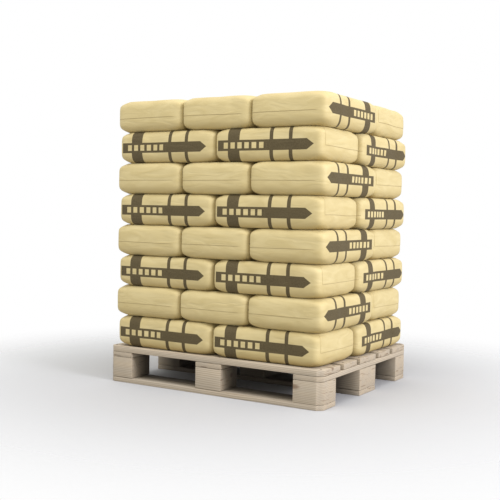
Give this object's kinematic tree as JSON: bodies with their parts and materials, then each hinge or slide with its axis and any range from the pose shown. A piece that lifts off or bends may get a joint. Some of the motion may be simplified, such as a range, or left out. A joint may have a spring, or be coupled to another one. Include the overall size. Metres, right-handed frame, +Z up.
{
  "type": "pallet of sacks",
  "caption": "Filled paper sacks with flat rounded sides, stacked in bonded layers on a four-way block pallet.",
  "frame": {"origin": "on the floor, under the middle of the pallet", "axes": "+Z up, +X along the pallet's long side, +Y along its short side; the long face towards -Y is the front"},
  "size_m": [1.2, 1, 1.4058],
  "materials": {
    "sack_paper": "satin",
    "pallet_wood": "matte"
  },
  "bodies": {
    "root": {"runner_front": "pallet_wood", "runner_middle": "pallet_wood", "runner_back": "pallet_wood", "block_front_left": "pallet_wood", "block_front_middle": "pallet_wood", "block_front_right": "pallet_wood", "block_middle_left": "pallet_wood", "block_middle_middle": "pallet_wood", "block_middle_right": "pallet_wood", "block_back_left": "pallet_wood", "block_back_middle": "pallet_wood", "block_back_right": "pallet_wood", "cross_board_left": "pallet_wood", "cross_board_middle": "pallet_wood", "cross_board_right": "pallet_wood", "deck_board_1": "pallet_wood", "deck_board_2": "pallet_wood", "deck_board_3": "pallet_wood", "deck_board_4": "pallet_wood", "deck_board_5": "pallet_wood", "sack_1_front_left": "sack_paper", "sack_1_front_right": "sack_paper", "sack_1_back_left": "sack_paper", "sack_1_back_middle": "sack_paper", "sack_1_back_right": "sack_paper", "sack_2_front_left": "sack_paper", "sack_2_front_middle": "sack_paper", "sack_2_front_right": "sack_paper", "sack_2_back_left": "sack_paper", "sack_2_back_right": "sack_paper", "sack_3_front_left": "sack_paper", "sack_3_front_right": "sack_paper", "sack_3_back_left": "sack_paper", "sack_3_back_middle": "sack_paper", "sack_3_back_right": "sack_paper", "sack_4_front_left": "sack_paper", "sack_4_front_middle": "sack_paper", "sack_4_front_right": "sack_paper", "sack_4_back_left": "sack_paper", "sack_4_back_right": "sack_paper", "sack_5_front_left": "sack_paper", "sack_5_front_right": "sack_paper", "sack_5_back_left": "sack_paper", "sack_5_back_middle": "sack_paper", "sack_5_back_right": "sack_paper", "sack_6_front_left": "sack_paper", "sack_6_front_middle": "sack_paper", "sack_6_front_right": "sack_paper", "sack_6_back_left": "sack_paper", "sack_6_back_right": "sack_paper", "sack_7_front_left": "sack_paper", "sack_7_front_right": "sack_paper", "sack_7_back_left": "sack_paper", "sack_7_back_middle": "sack_paper", "sack_7_back_right": "sack_paper", "sack_8_front_left": "sack_paper", "sack_8_front_middle": "sack_paper", "sack_8_front_right": "sack_paper", "sack_8_back_left": "sack_paper", "sack_8_back_right": "sack_paper"}
  },
  "joints": []
}
